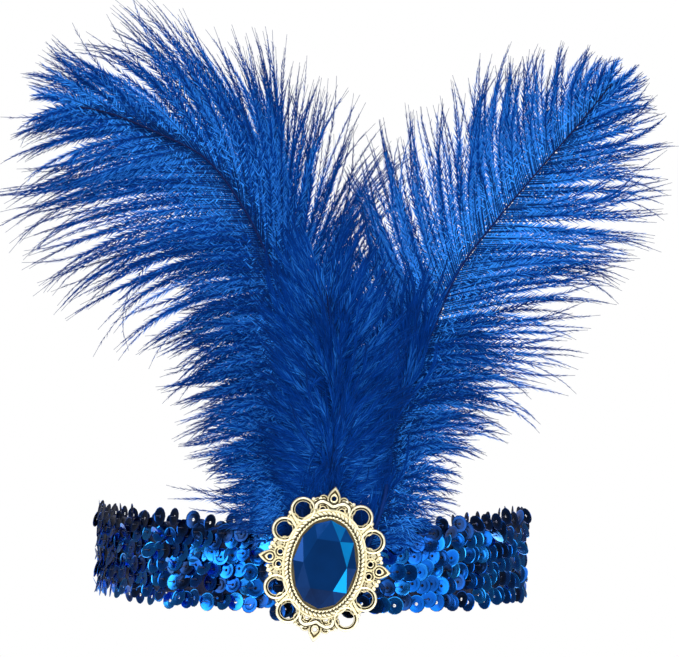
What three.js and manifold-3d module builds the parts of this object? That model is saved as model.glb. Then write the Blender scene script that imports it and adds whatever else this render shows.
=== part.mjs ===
// Feather headdress: a stretch sequin band, a pierced gilt brooch with a cut stone, and three dyed plumes.
// Millimetres, +Z up. The wearer faces -Y. The origin is the middle of the head loop at the band's half height.

import * as THREE from 'three';
import { mergeVertices } from 'three/addons/utils/BufferGeometryUtils.js';
import Module from 'manifold-3d';

const wasm = await Module();
wasm.setup();

// Driving dimensions
const SEAM_GAP = 0.3; // clear space between pieces that bear on each other

const BAND_HALF_BREADTH = 79; // outer face, temple to temple
const BAND_HALF_DEPTH = 99.5; // outer face, brow to nape
const BAND_HEIGHT = 32;
const BAND_WALL = 2.6; // ribbon and the sequins sewn on it
const NAPE_DIP = 14; // the loop runs lower behind the head
const TEMPLE_RISE = 1;
const SEQUIN_ROWS = 6;
const ROW_RELIEF = 0.6; // depth of the furrow between two rows
const ROW_CREST = 0.3; // where a row stands out most, as a share of its height from its foot
const BAND_STEPS = 40;

const BROOCH_TILT = 7.5; // degrees, the top leans to +X
const BROOCH_HEIGHT = 0.8; // of its middle, above the band's half height
const PLATE = 1.5; // thickness of the pierced work
const STONE_HALF = { u: 11, v: 15.5 }; // girdle
const STONE_RISE = 2.7; // girdle to table
const STONE_EDGE = 0.9; // height of the girdle
const BEZEL_WALL = 0.7;
const BEZEL_HEIGHT = 3.0;
const LEDGE = 1.5; // how far the plate reaches in under the stone
const COLLAR = 2.6; // how far the plate reaches out past the bezel
const ROPE_RADIUS = 0.85;
const ROPE_SIDES = 6;
const EYELET = { outer: 4.2, hole: 2.5, edge: 1.2, rise: 2.1 }; // radii, and heights of the edge and the lip
const EYELET_SIDES = 12;
const OVAL_STEPS = 30;

// Open rings of the setting, one quarter of them, as middle points
const EYELETS = [
  { u: 15.2, v: 9.7 },
  { u: 10.0, v: 17.3 },
];

// Pointed trefoils on the four axes: reach of the tip, of its drop hole, and the two lobes behind it
const TREFOILS = [
  { turn: 0, tip: 26.2, eye: 22.4, lobeReach: 18.3, lobeOut: 3.6 },
  { turn: 90, tip: 23.0, eye: 19.0, lobeReach: 15.2, lobeOut: 2.6 },
  { turn: 180, tip: 26.2, eye: 22.4, lobeReach: 18.3, lobeOut: 3.6 },
  { turn: 270, tip: 23.0, eye: 19.0, lobeReach: 15.2, lobeOut: 2.6 },
];
const PETAL = { foot: 1.7, belly: 3.3, rise: 1.5 }; // half widths, and how far its foot lies behind the lobes
const LOBE_RADIUS = 2.1;
const LOBE_SIDES = 10;
const PIERCING = { radius: 0.75, sides: 7 };
const BUD_RADIUS = 1.1; // cast beads between the rings

// Cast beads, one quarter of them
const BUDS = [
  { u: 16.6, v: 4.9 },
  { u: 14.4, v: 15.4 },
  { u: 5.9, v: 19.9 },
];

// Stone: corners of the six-sided table and the girdle, one quarter of each, from +V to +U
const TABLE_CORNERS = [
  { u: 4.1, v: 7.6 },
  { u: 7.5, v: 0 },
];
const GIRDLE_CORNERS = [
  { u: 0, v: 15.3 },
  { u: 5.4, v: 13.2 },
  { u: 8.8, v: 8.7 },
  { u: 11.0, v: 0 },
];

const QUILL_RADIUS = 1.1; // at the foot
const SHAFT_TIP_RADIUS = 0.35;
const SHAFT_SIDES = 6;
const SHAFT_STEPS = 20;
const LOCK_PITCH = 9.6; // along the shaft
const LOCK_THICKNESS = 2.2;
const LOCK_ROOT = 0.25; // width at the shaft, as a share of the full width
const LOCK_SWELL = 0.5; // share of the length over which it widens
const LOCK_SLIM = 50; // locks shorter than this are narrower in proportion
const LOCK_STATIONS = [0, 0.15, 0.38, 0.62, 0.84]; // shares of its length, before the tip
const LAST_ROOT = 0.995; // share of the shaft where the last locks leave it

const BAND_FRONT = -BAND_HALF_DEPTH;
const QUILL_Y = BAND_FRONT - SEAM_GAP - QUILL_RADIUS;
const BROOCH_BACK = QUILL_Y - QUILL_RADIUS - SEAM_GAP;

// Plumes. shaft: points of the shaft from its foot behind the brooch to its tip.
// A vane row: at, distance along the shaft. length of the lock. lean, angle from the shaft at the root.
// sweep, further turn by the tip, outwards if positive. bow, how far the tip stands off, back if positive.
// width, of a vane's locks. spread, how far neighbouring locks stand off to and fro.
const PLUMES = [
  {
    name: 'plume_left',
    color: 0x0a3fa0,
    shaft: [
      { x: -6, y: QUILL_Y, z: -8 },
      { x: -7.5, y: QUILL_Y, z: 14 },
      { x: -9.5, y: -99.5, z: 43 },
      { x: -13.5, y: -96, z: 81 },
      { x: -20.5, y: -94, z: 105 },
      { x: -31, y: -93, z: 125 },
      { x: -43, y: -93, z: 139.5 },
      { x: -60, y: -95, z: 148 },
      { x: -76, y: -98, z: 154 },
      { x: -87, y: -101, z: 156 },
    ],
    vanes: [
      {
        side: 1,
        width: 12,
        spread: 5,
        rows: [
          { at: 36, length: 28, lean: 104, sweep: -20, bow: -4 },
          { at: 54, length: 36, lean: 98, sweep: 8, bow: -5 },
          { at: 80, length: 46, lean: 97, sweep: 8, bow: -6 },
          { at: 98, length: 56, lean: 84, sweep: 26, bow: -6 },
          { at: 114, length: 70, lean: 60, sweep: 48, bow: -5 },
          { at: 132, length: 82, lean: 56, sweep: 46, bow: -4 },
          { at: 150, length: 76, lean: 46, sweep: 28, bow: -4 },
          { at: 166, length: 62, lean: 34, sweep: 20, bow: -5 },
          { at: 182, length: 46, lean: 22, sweep: 22, bow: -6 },
          { at: 204, length: 30, lean: 8, sweep: 44, bow: -6 },
        ],
      },
      {
        side: -1,
        width: 8,
        spread: 4,
        rows: [
          { at: 58, length: 100, lean: 10, sweep: 46, bow: 9 },
          { at: 78, length: 104, lean: 8, sweep: 24, bow: 9 },
          { at: 95, length: 98, lean: 10, sweep: 0, bow: 8 },
          { at: 109, length: 95, lean: 24, sweep: -30, bow: 7 },
          { at: 125, length: 90, lean: 28, sweep: -50, bow: 6 },
          { at: 141, length: 79, lean: 28, sweep: -50, bow: 5 },
          { at: 157, length: 68, lean: 22, sweep: -44, bow: 4 },
          { at: 173, length: 52, lean: 15, sweep: -34, bow: 2 },
          { at: 190, length: 35, lean: 15, sweep: -35, bow: 0 },
          { at: 204, length: 26, lean: 8, sweep: -20, bow: -2 },
        ],
      },
    ],
  },
  {
    name: 'plume_right',
    color: 0x0a3a94,
    shaft: [
      { x: 7, y: QUILL_Y, z: -8 },
      { x: 15, y: QUILL_Y, z: 8 },
      { x: 20.5, y: -101.5, z: 24 },
      { x: 21.8, y: -102.5, z: 43 },
      { x: 26, y: -103.5, z: 58 },
      { x: 34.5, y: -104, z: 78 },
      { x: 44.5, y: -104, z: 102 },
      { x: 58, y: -104, z: 120.5 },
      { x: 72, y: -104, z: 137.5 },
      { x: 85, y: -105, z: 153 },
      { x: 96, y: -106, z: 167 },
    ],
    vanes: [
      {
        side: -1,
        width: 11,
        spread: 5,
        rows: [
          { at: 36, length: 20, lean: 82, sweep: 40, bow: -4 },
          { at: 48, length: 34, lean: 66, sweep: 44, bow: -5 },
          { at: 64, length: 43, lean: 62, sweep: 34, bow: -6 },
          { at: 80, length: 50, lean: 60, sweep: 22, bow: -6 },
          { at: 98, length: 57, lean: 55, sweep: 20, bow: -5 },
          { at: 116, length: 62, lean: 49, sweep: 28, bow: -5 },
          { at: 134, length: 60, lean: 50, sweep: 14, bow: -4 },
          { at: 148, length: 61, lean: 52, sweep: -8, bow: -4 },
          { at: 162, length: 50, lean: 46, sweep: -16, bow: -3 },
          { at: 178, length: 31, lean: 27, sweep: 4, bow: -3 },
          { at: 198, length: 13, lean: 12, sweep: 0, bow: -2 },
        ],
      },
      {
        side: 1,
        width: 9,
        spread: 2,
        rows: [
          { at: 68, length: 66, lean: 40, sweep: -8, bow: -2 },
          { at: 86, length: 72, lean: 48, sweep: -10, bow: -3 },
          { at: 102, length: 71, lean: 50, sweep: -24, bow: -3 },
          { at: 122, length: 64, lean: 47, sweep: -16, bow: -3 },
          { at: 138, length: 64, lean: 54, sweep: -28, bow: -3 },
          { at: 154, length: 51, lean: 58, sweep: -36, bow: -2 },
          { at: 170, length: 40, lean: 54, sweep: -32, bow: -1 },
          { at: 182, length: 29, lean: 45, sweep: -25, bow: 0 },
          { at: 198, length: 12, lean: 16, sweep: 0, bow: 0 },
        ],
      },
    ],
  },
  {
    name: 'plume_front',
    color: 0x0c48b4,
    shaft: [
      { x: 0.5, y: QUILL_Y, z: -8 },
      { x: 1, y: QUILL_Y, z: 14 },
      { x: 1.5, y: QUILL_Y, z: 28 },
      { x: 2, y: -104.5, z: 40 },
      { x: 2.5, y: -110, z: 54 },
      { x: 1, y: -114, z: 74 },
      { x: -1.5, y: -116, z: 95 },
    ],
    vanes: [
      {
        side: 1,
        width: 10,
        spread: 3,
        rows: [
          { at: 42, length: 28, lean: 76, sweep: -14, bow: -6 },
          { at: 58, length: 37, lean: 60, sweep: -10, bow: -8 },
          { at: 76, length: 43, lean: 46, sweep: -8, bow: -8 },
          { at: 102, length: 36, lean: 16, sweep: 0, bow: -6 },
        ],
      },
      {
        side: -1,
        width: 10,
        spread: 3,
        rows: [
          { at: 42, length: 26, lean: 76, sweep: -14, bow: -6 },
          { at: 58, length: 35, lean: 60, sweep: -10, bow: -8 },
          { at: 76, length: 42, lean: 46, sweep: -8, bow: -8 },
          { at: 102, length: 36, lean: 16, sweep: 0, bow: -6 },
        ],
      },
    ],
  },
];

const radians = THREE.MathUtils.degToRad;

// A closed skin through rings of equally many points. Its first end is capped, and its last end is capped or
// drawn to an apex; a looped skin joins last to first.
function skin(rings, { looped = false, apex = null } = {}) {
  const count = rings[0].length;
  const positions = [...rings.flat(), ...(apex ? [apex] : [])].flatMap(({ x, y, z }) => [x, y, z]);
  const index = [];
  const bands = looped ? rings.length : rings.length - 1;
  for (let ring = 0; ring < bands; ring += 1) {
    const here = ring * count;
    const next = ((ring + 1) % rings.length) * count;
    for (let side = 0; side < count; side += 1) {
      const other = (side + 1) % count;
      index.push(here + side, here + other, next + other);
      index.push(here + side, next + other, next + side);
    }
  }
  const last = (rings.length - 1) * count;
  for (let side = 1; side < count - 1 && !looped; side += 1) {
    index.push(0, side + 1, side);
    if (!apex) {
      index.push(last, last + side, last + side + 1);
    }
  }
  for (let side = 0; side < count && apex; side += 1) {
    index.push(last + side, last + ((side + 1) % count), last + count);
  }
  const geometry = new THREE.BufferGeometry();
  geometry.setAttribute('position', new THREE.Float32BufferAttribute(positions, 3));
  geometry.setIndex(index);
  return geometry;
}

function solid(geometry) {
  const bare = geometry.clone();
  bare.deleteAttribute('normal');
  bare.deleteAttribute('uv');
  const merged = mergeVertices(bare, 1e-4);
  const vertProperties = new Float32Array(merged.attributes.position.array);
  const triVerts = new Uint32Array(merged.index.array);
  return new wasm.Manifold(new wasm.Mesh({ numProp: 3, vertProperties, triVerts }));
}

function geometryOf(body) {
  const mesh = body.getMesh();
  const geometry = new THREE.BufferGeometry();
  geometry.setAttribute('position', new THREE.BufferAttribute(mesh.vertProperties, 3));
  geometry.setIndex(new THREE.BufferAttribute(mesh.triVerts, 1));
  return geometry;
}

const joined = (bodies) => bodies.reduce((whole, body) => whole.add(body));

function piece(name, geometry, look) {
  const mesh = new THREE.Mesh(geometry, new THREE.MeshStandardMaterial(look));
  mesh.name = name;
  return mesh;
}

// Height of the band's middle line, from the brow (0) round to the nape (pi)
function bandLine(angle) {
  const behind = (1 - Math.cos(angle)) / 2;
  return TEMPLE_RISE * Math.sin(angle) ** 2 - NAPE_DIP * behind ** 3;
}

// The band: a wall of six rounded rows, swept round the head
function band() {
  const half = BAND_HEIGHT / 2;
  const row = BAND_HEIGHT / SEQUIN_ROWS;
  const profile = [{ depth: BAND_WALL, z: -half }];
  for (let i = 0; i < SEQUIN_ROWS; i += 1) {
    const foot = -half + i * row;
    if (i > 0) {
      profile.push({ depth: ROW_RELIEF, z: foot });
    }
    profile.push({ depth: 0, z: foot + row * ROW_CREST });
  }
  profile.push({ depth: ROW_RELIEF, z: half }, { depth: BAND_WALL, z: half });
  profile.reverse();
  const rings = [];
  for (let step = 0; step < BAND_STEPS; step += 1) {
    const angle = (step / BAND_STEPS) * 2 * Math.PI;
    rings.push(profile.map(({ depth, z }) => new THREE.Vector3(
      (BAND_HALF_BREADTH - depth) * Math.sin(angle),
      -(BAND_HALF_DEPTH - depth) * Math.cos(angle),
      z + bandLine(angle),
    )));
  }
  return piece('band', skin(rings, { looped: true }), { color: 0x0b3f9c, roughness: 0.35, metalness: 0.6 });
}

// The brooch is drawn flat: u to its right, v to its top, and w out towards the eye
function ovalRing(inner, outer, low, high) {
  const shape = new THREE.Shape();
  shape.absellipse(0, 0, outer.u, outer.v, 0, 2 * Math.PI);
  const hole = new THREE.Path();
  hole.absellipse(0, 0, inner.u, inner.v, 0, 2 * Math.PI);
  shape.holes.push(hole);
  const ring = new THREE.ExtrudeGeometry(shape, {
    depth: high - low,
    bevelEnabled: false,
    curveSegments: OVAL_STEPS / 2, // per half turn
  });
  return solid(ring.translate(0, 0, low));
}

const grown = (oval, by) => ({ u: oval.u + by, v: oval.v + by });

// The rope rim: a round bead laid along the oval outside the bezel
function ropeRim(oval) {
  const rings = [];
  for (let step = 0; step < OVAL_STEPS; step += 1) {
    const angle = (step / OVAL_STEPS) * 2 * Math.PI;
    const middle = new THREE.Vector3(oval.u * Math.cos(angle), oval.v * Math.sin(angle), PLATE);
    const out = new THREE.Vector3(Math.cos(angle) / oval.u, Math.sin(angle) / oval.v, 0).normalize();
    const ring = [];
    for (let side = 0; side < ROPE_SIDES; side += 1) {
      const turn = (side / ROPE_SIDES) * 2 * Math.PI;
      ring.push(middle.clone()
        .addScaledVector(out, ROPE_RADIUS * Math.cos(turn))
        .add(new THREE.Vector3(0, 0, ROPE_RADIUS * Math.sin(turn))));
    }
    rings.push(ring.reverse());
  }
  return solid(skin(rings, { looped: true }));
}

// An open ring with a raised, rounded lip
function eyelet(u, v) {
  const { outer, hole, edge, rise } = EYELET;
  const crest = (outer + hole) / 2;
  const profile = [
    [hole, 0], [outer, 0], [outer, edge], [crest, rise], [hole, PLATE], [hole, 0],
  ].map(([r, h]) => new THREE.Vector2(r, h));
  const ring = new THREE.LatheGeometry(profile, EYELET_SIDES);
  return solid(ring.rotateX(Math.PI / 2).translate(u, v, 0));
}

const disc = (u, v, radius, sides, high = PLATE) => (
  new THREE.CylinderGeometry(radius, radius, high, sides).rotateX(Math.PI / 2).translate(u, v, high / 2)
);

const drill = (u, v, radius, sides) => solid(disc(u, v, radius, sides, 3 * PLATE).translate(0, 0, -PLATE));

// A pointed petal and two lobes, each pierced by a small hole
function trefoil({ turn, tip, eye, lobeReach, lobeOut }) {
  const petal = new THREE.Shape();
  const foot = lobeReach - PETAL.rise;
  petal.moveTo(-PETAL.foot, foot);
  petal.lineTo(PETAL.foot, foot);
  petal.quadraticCurveTo(PETAL.belly, eye, 0, tip);
  petal.quadraticCurveTo(-PETAL.belly, eye, -PETAL.foot, foot);
  const leaf = new THREE.ExtrudeGeometry(petal, { depth: PLATE, bevelEnabled: false, curveSegments: 5 });
  let body = solid(leaf);
  for (const out of [-lobeOut, lobeOut]) {
    body = body.add(solid(disc(out, lobeReach, LOBE_RADIUS, LOBE_SIDES)));
  }
  for (const [u, v] of [[0, eye], [-lobeOut, lobeReach], [lobeOut, lobeReach]]) {
    body = body.subtract(drill(u, v, PIERCING.radius, PIERCING.sides));
  }
  return solid(geometryOf(body).rotateZ(-radians(turn)));
}

const quarters = (row) => [-1, 1].flatMap((du) => [-1, 1].map((dv) => ({ u: row.u * du, v: row.v * dv })));

// The setting: one casting of collar, bezel, rope rim, rings, trefoils and cast beads
function setting() {
  const seat = grown(STONE_HALF, SEAM_GAP);
  const bezel = grown(seat, BEZEL_WALL);
  const parts = [
    ovalRing(grown(STONE_HALF, -LEDGE), grown(bezel, COLLAR), 0, PLATE),
    ovalRing(seat, bezel, 0, BEZEL_HEIGHT),
    ropeRim(grown(bezel, ROPE_RADIUS)),
  ];
  parts.push(...TREFOILS.map(trefoil));
  let body = joined(parts);
  for (const { u, v } of EYELETS.flatMap(quarters)) {
    body = body.subtract(drill(u, v, (EYELET.hole + EYELET.outer) / 2, EYELET_SIDES));
    body = body.add(eyelet(u, v));
  }
  for (const { u, v } of BUDS.flatMap(quarters)) {
    body = body.add(solid(new THREE.SphereGeometry(BUD_RADIUS, 6, 4).translate(u, v, PLATE / 2)));
  }
  return piece('brooch_setting', geometryOf(body), { color: 0xdcb95f, roughness: 0.25, metalness: 1 });
}

// All corners of a two-way mirrored ring of points, clockwise from +V, at height w
function mirrored(corners, w) {
  const right = [...corners, ...corners.filter(({ v }) => v > 0).reverse().map(({ u, v }) => ({ u, v: -v }))];
  const left = right.filter(({ u }) => u > 0).reverse().map(({ u, v }) => ({ u: -u, v }));
  return [...right, ...left].map(({ u, v }) => new THREE.Vector3(u, v, w));
}

// The stone: flat back, straight girdle, eighteen crown facets and a six-sided table
function stone() {
  const back = mirrored(GIRDLE_CORNERS, PLATE + SEAM_GAP);
  const girdle = mirrored(GIRDLE_CORNERS, PLATE + SEAM_GAP + STONE_EDGE);
  const table = mirrored(TABLE_CORNERS, PLATE + SEAM_GAP + STONE_EDGE + STONE_RISE);
  const points = [...back, ...girdle, ...table];
  const around = girdle.length;
  const top = 2 * around;
  const index = [];
  for (let side = 1; side < around - 1; side += 1) {
    index.push(0, side, side + 1);
  }
  for (let side = 0; side < around; side += 1) {
    const other = (side + 1) % around;
    index.push(side, around + side, around + other, side, around + other, other);
  }
  // Each table corner sees three girdle corners, and each table edge the girdle corner between them
  for (let corner = 0; corner < table.length; corner += 1) {
    const before = around + corner * 2;
    const facing = around + corner * 2 + 1;
    const after = around + ((corner * 2 + 2) % around);
    const next = top + ((corner + 1) % table.length);
    index.push(before, top + corner, facing, facing, top + corner, after, top + corner, next, after);
  }
  for (let corner = 1; corner < table.length - 1; corner += 1) {
    index.push(top, top + corner + 1, top + corner);
  }
  const geometry = new THREE.BufferGeometry().setFromPoints(points);
  geometry.setIndex(index);
  return piece('gem', geometry, { color: 0x0a2f86, roughness: 0.05, metalness: 0 });
}

function shaftSolid(curve) {
  const rings = [];
  for (let step = 0; step <= SHAFT_STEPS; step += 1) {
    const share = step / SHAFT_STEPS;
    const middle = curve.getPointAt(share);
    const along = curve.getTangentAt(share);
    const across = new THREE.Vector3(0, 1, 0).cross(along).normalize();
    const out = along.clone().cross(across);
    const radius = THREE.MathUtils.lerp(QUILL_RADIUS, SHAFT_TIP_RADIUS, share);
    const ring = [];
    for (let side = 0; side < SHAFT_SIDES; side += 1) {
      const turn = (side / SHAFT_SIDES) * 2 * Math.PI;
      ring.push(middle.clone()
        .addScaledVector(across, radius * Math.cos(turn))
        .addScaledVector(out, radius * Math.sin(turn)));
    }
    rings.push(ring);
  }
  return solid(skin(rings));
}

// The row of a vane at a distance along the shaft, between the two nearest rows of its table
function vaneRow(rows, at) {
  const upper = rows.findIndex((row) => row.at >= at);
  const above = rows[upper < 0 ? rows.length - 1 : upper];
  const below = rows[Math.max(0, (upper < 0 ? rows.length : upper) - 1)];
  const share = above === below ? 0 : (at - below.at) / (above.at - below.at);
  const mix = (key) => THREE.MathUtils.lerp(below[key], above[key], share);
  return { length: mix('length'), lean: mix('lean'), sweep: mix('sweep'), bow: mix('bow') };
}

// A lock: a flat four-sided blade that leaves the shaft at its lean, turns by its sweep and tapers to a point
function lock(root, along, side, row) {
  const out = new THREE.Vector3(-along.z, 0, along.x).normalize().multiplyScalar(side);
  const direction = (share) => {
    const turn = radians(row.lean + row.sweep * share);
    return along.clone().multiplyScalar(Math.cos(turn)).addScaledVector(out, Math.sin(turn));
  };
  const rings = [];
  const middle = root.clone();
  let last = 0;
  const advance = (share) => {
    middle.addScaledVector(direction((share + last) / 2), row.length * (share - last));
    last = share;
    return middle.clone().add(new THREE.Vector3(0, row.bow * share * share, 0));
  };
  for (const share of LOCK_STATIONS) {
    const centre = advance(share);
    const heading = direction(share);
    const swell = LOCK_ROOT + (1 - LOCK_ROOT) * THREE.MathUtils.smoothstep(share, 0, LOCK_SWELL);
    const taper = swell * Math.sqrt(1 - share);
    const deep = new THREE.Vector3(0, (LOCK_THICKNESS / 2) * taper, 0);
    const wide = new THREE.Vector3(-heading.z, 0, heading.x).setLength((row.width / 2) * taper);
    rings.push([
      centre.clone().add(wide), centre.clone().sub(deep), centre.clone().sub(wide), centre.clone().add(deep),
    ]);
  }
  return solid(skin(rings, { apex: advance(1) }));
}

// A plume: a tapering shaft with a row of locks down each side, all one piece
function plume({ name, color, shaft, vanes }) {
  const curve = new THREE.CatmullRomCurve3(shaft.map(({ x, y, z }) => new THREE.Vector3(x, y, z)));
  curve.arcLengthDivisions = 400;
  const reach = curve.getLength();
  const bodies = [shaftSolid(curve)];
  for (const { side, width, spread, rows } of vanes) {
    const first = rows[0].at;
    const last = rows[rows.length - 1].at;
    const count = Math.round((last - first) / LOCK_PITCH);
    for (let i = 0; i <= count; i += 1) {
      const at = first + ((last - first) * i) / count;
      const share = Math.min(at / reach, LAST_ROOT);
      const row = vaneRow(rows, at);
      row.bow += i % 2 ? spread : -spread;
      row.width = width * Math.min(1, row.length / LOCK_SLIM);
      bodies.push(lock(curve.getPointAt(share), curve.getTangentAt(share), side, row));
    }
  }
  return piece(name, geometryOf(joined(bodies)), { color, roughness: 0.85, metalness: 0 });
}

const headdress = new THREE.Group();
headdress.add(band());

// Standing on the front of the quills, turned so that w looks along -Y
const brooch = new THREE.Group();
brooch.position.set(0, BROOCH_BACK, BROOCH_HEIGHT);
brooch.rotation.set(Math.PI / 2, radians(BROOCH_TILT), 0, 'YXZ');
brooch.add(setting(), stone());
headdress.add(brooch);

headdress.add(...PLUMES.map(plume));

export default headdress;
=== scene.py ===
import math

import bpy
import numpy as np
from mathutils import Matrix


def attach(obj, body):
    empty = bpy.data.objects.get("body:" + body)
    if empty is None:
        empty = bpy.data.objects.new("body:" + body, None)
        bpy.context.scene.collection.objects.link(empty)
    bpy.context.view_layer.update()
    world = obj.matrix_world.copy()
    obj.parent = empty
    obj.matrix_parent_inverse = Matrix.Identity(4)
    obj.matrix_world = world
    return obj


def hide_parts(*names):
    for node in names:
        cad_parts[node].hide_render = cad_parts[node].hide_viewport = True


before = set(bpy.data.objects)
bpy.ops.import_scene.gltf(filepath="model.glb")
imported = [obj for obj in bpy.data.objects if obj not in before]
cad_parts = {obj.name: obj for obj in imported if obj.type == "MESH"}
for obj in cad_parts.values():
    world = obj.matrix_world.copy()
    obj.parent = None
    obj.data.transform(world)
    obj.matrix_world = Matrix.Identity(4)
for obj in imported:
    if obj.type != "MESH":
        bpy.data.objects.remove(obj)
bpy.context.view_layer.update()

mm = 0.001
fullTurn = 2 * math.pi
backward = np.array([0.0, 1.0, 0.0])  # away from the eye
upward = np.array([0.0, 0.0, 1.0])
print("frame loaded:", ", ".join(sorted(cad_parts)))


def cosSin(degrees):
    return math.cos(math.radians(degrees)), math.sin(math.radians(degrees))


# An object in the scene, with the columns of its frame where it has one
def addObject(name, data, columns=None):
    thing = bpy.data.objects.new(name, data)
    bpy.context.scene.collection.objects.link(thing)
    if columns is not None:
        thing.matrix_world = Matrix([*np.column_stack(columns).tolist(), [0, 0, 0, 1]])
    return thing


# Camera, about 1.3 m in front of the brow, turned and rolled a little
cameraSet = {
    "lens": 185.5,  # mm
    "sensorWidth": 36.0,
    "yaw": -3.24,  # degrees
    "roll": 0.9,
    "distance": 1.3,  # metres to the origin along the view
    "side": 0.0097,  # the origin's place in the view, metres
    "height": 0.0815,
}


def addCamera(values):
    c, s = cosSin(values["yaw"])
    right, forward = np.array([c, s, 0.0]), np.array([-s, c, 0.0])
    place = right * values["side"] - forward * values["distance"] + upward * values["height"]
    c, s = cosSin(values["roll"])
    columns = [right * c + upward * s, upward * c - right * s, -forward, place]
    data = bpy.data.cameras.new("camera")
    data.sensor_fit = "HORIZONTAL"
    data.sensor_width = values["sensorWidth"]
    data.lens = values["lens"]
    bpy.context.scene.camera = addObject("camera", data, columns)


addCamera(cameraSet)
print("camera set")


# Mesh tools. A part is points in metres, faces as index arrays, and a tone from 0 to 1 for each point.
# Faces are turned over where the signed volume, a sum of corner tetrahedra, comes out negative
def makePart(points, quads=(), tris=(), tone=0.5):
    points = np.asarray(points, float).reshape(-1, 3)
    quads = np.asarray(quads, int).reshape(-1, 4)
    tris = np.asarray(tris, int).reshape(-1, 3)
    fan = np.concatenate([tris, quads[:, [0, 1, 2]], quads[:, [0, 2, 3]]])
    a, b, c = (points[fan[:, corner]] - points.mean(axis=0) for corner in range(3))
    if np.einsum("ij,ij->", a, np.cross(b, c)) < 0:
        quads, tris = quads[:, ::-1], tris[:, ::-1]
    tone = np.broadcast_to(np.ravel(tone), len(points))
    return {"points": points, "quads": quads, "tris": tris, "tone": tone}


# Quads between the points of a rows by columns grid, closed round its columns, and round its rows where asked
def gridQuads(rows, columns, roundRows=False):
    row = np.arange(rows if roundRows else rows - 1)[:, None]
    column = np.arange(columns)
    nextRow, nextColumn = (row + 1) % rows, (column + 1) % columns
    corners = [(row, column), (row, nextColumn), (nextRow, nextColumn), (nextRow, column)]
    return np.stack([r * columns + c for r, c in corners], axis=-1).reshape(-1, 4)


# The same faces for many copies, each shifted by the points of the copies before it
def repeatFaces(faces, copies, pointsEach):
    return (faces[None] + np.arange(copies)[:, None, None] * pointsEach).reshape(-1, faces.shape[1])


def unit(vectors):
    return vectors / np.maximum(np.linalg.norm(vectors, axis=-1, keepdims=True), 1e-12)


def smoothStep(low, high, value):
    share = np.clip((value - low) / (high - low), 0, 1)
    return share * share * (3 - 2 * share)


# Angles at even steps all the way round
def turns(count):
    return np.arange(count) / count * fullTurn


# Distances along a line of points
def runAlong(points):
    return np.concatenate([[0], np.cumsum(np.linalg.norm(np.diff(points, axis=0), axis=1))])


# Columns of an array read off at distances along a line
def readAlong(at, run, columns):
    return np.column_stack([np.interp(at, run, column) for column in columns.T])


triangleCount = {}


# One object from joined parts. A sharp angle of 0 leaves it faceted, and a face tone replaces the parts' own
def makePiece(name, parts, material, nodes=(), sharpAngle=None, faceTone=None):
    starts = np.cumsum([0] + [len(p["points"]) for p in parts[:-1]])
    points = np.concatenate([p["points"] for p in parts])
    quads = np.concatenate([p["quads"] + s for p, s in zip(parts, starts)])
    tris = np.concatenate([p["tris"] + s for p, s in zip(parts, starts)])
    sizes = np.concatenate([np.full(len(quads), 4), np.full(len(tris), 3)])
    corners = np.concatenate([quads.ravel(), tris.ravel()])
    mesh = bpy.data.meshes.new(name)
    mesh.vertices.add(len(points))
    mesh.vertices.foreach_set("co", points.ravel().astype(np.float32))
    mesh.loops.add(len(corners))
    mesh.loops.foreach_set("vertex_index", corners.astype(np.int32))
    mesh.polygons.add(len(sizes))
    mesh.polygons.foreach_set("loop_start", (np.cumsum(sizes) - sizes).astype(np.int32))
    mesh.update(calc_edges=True)
    mesh.polygons.foreach_set("use_smooth", np.full(len(sizes), sharpAngle != 0))
    if sharpAngle:
        mesh.set_sharp_from_angle(angle=math.radians(sharpAngle))
    values = np.concatenate([p["tone"] for p in parts]) if faceTone is None else np.asarray(faceTone)
    tone = mesh.attributes.new("tone", "FLOAT", "POINT" if faceTone is None else "FACE")
    tone.data.foreach_set("value", values.astype(np.float32))
    mesh.materials.append(material)
    piece = addObject(name, mesh)
    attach(piece, "root")
    if nodes:
        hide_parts(*nodes)
    triangleCount[name] = 2 * len(quads) + len(tris)
    print(f"{name}: {triangleCount[name]} triangles")
    return piece


# Directions round a path: a crosswise axis and its partner, turned through even steps
def ringRound(along, sides):
    across = unit(np.cross(backward, along))
    out = np.cross(along, across)
    turn = turns(sides)
    return across[..., None, :] * np.cos(turn)[:, None] + out[..., None, :] * np.sin(turn)[:, None]


# Fans that close both ends of a grid that is round along its columns, on the two points that follow it
def endFans(rows, columns):
    side = np.arange(columns)
    other = (side + 1) % columns
    last = (rows - 1) * columns
    foot = np.column_stack([other, side, np.full(columns, rows * columns)])
    tip = np.column_stack([last + side, last + other, np.full(columns, rows * columns + 1)])
    return np.concatenate([foot, tip])


# A round profile carried along a path: each ring is the path point plus radius times its directions
def tubePart(path, radius, tone, sides=8):
    ring = ringRound(unit(np.gradient(path, axis=0)), sides)
    points = path[:, None] + ring * np.broadcast_to(radius, len(path))[:, None, None]
    points = np.concatenate([points.reshape(-1, 3), path[:1], path[-1:]])
    tones = np.repeat(np.broadcast_to(tone, len(path)), sides)
    tones = np.concatenate([tones, tones[:1], tones[-1:]])
    quads = gridQuads(len(path), sides)
    return makePart(points, quads, endFans(len(path), sides), tone=tones)


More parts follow.
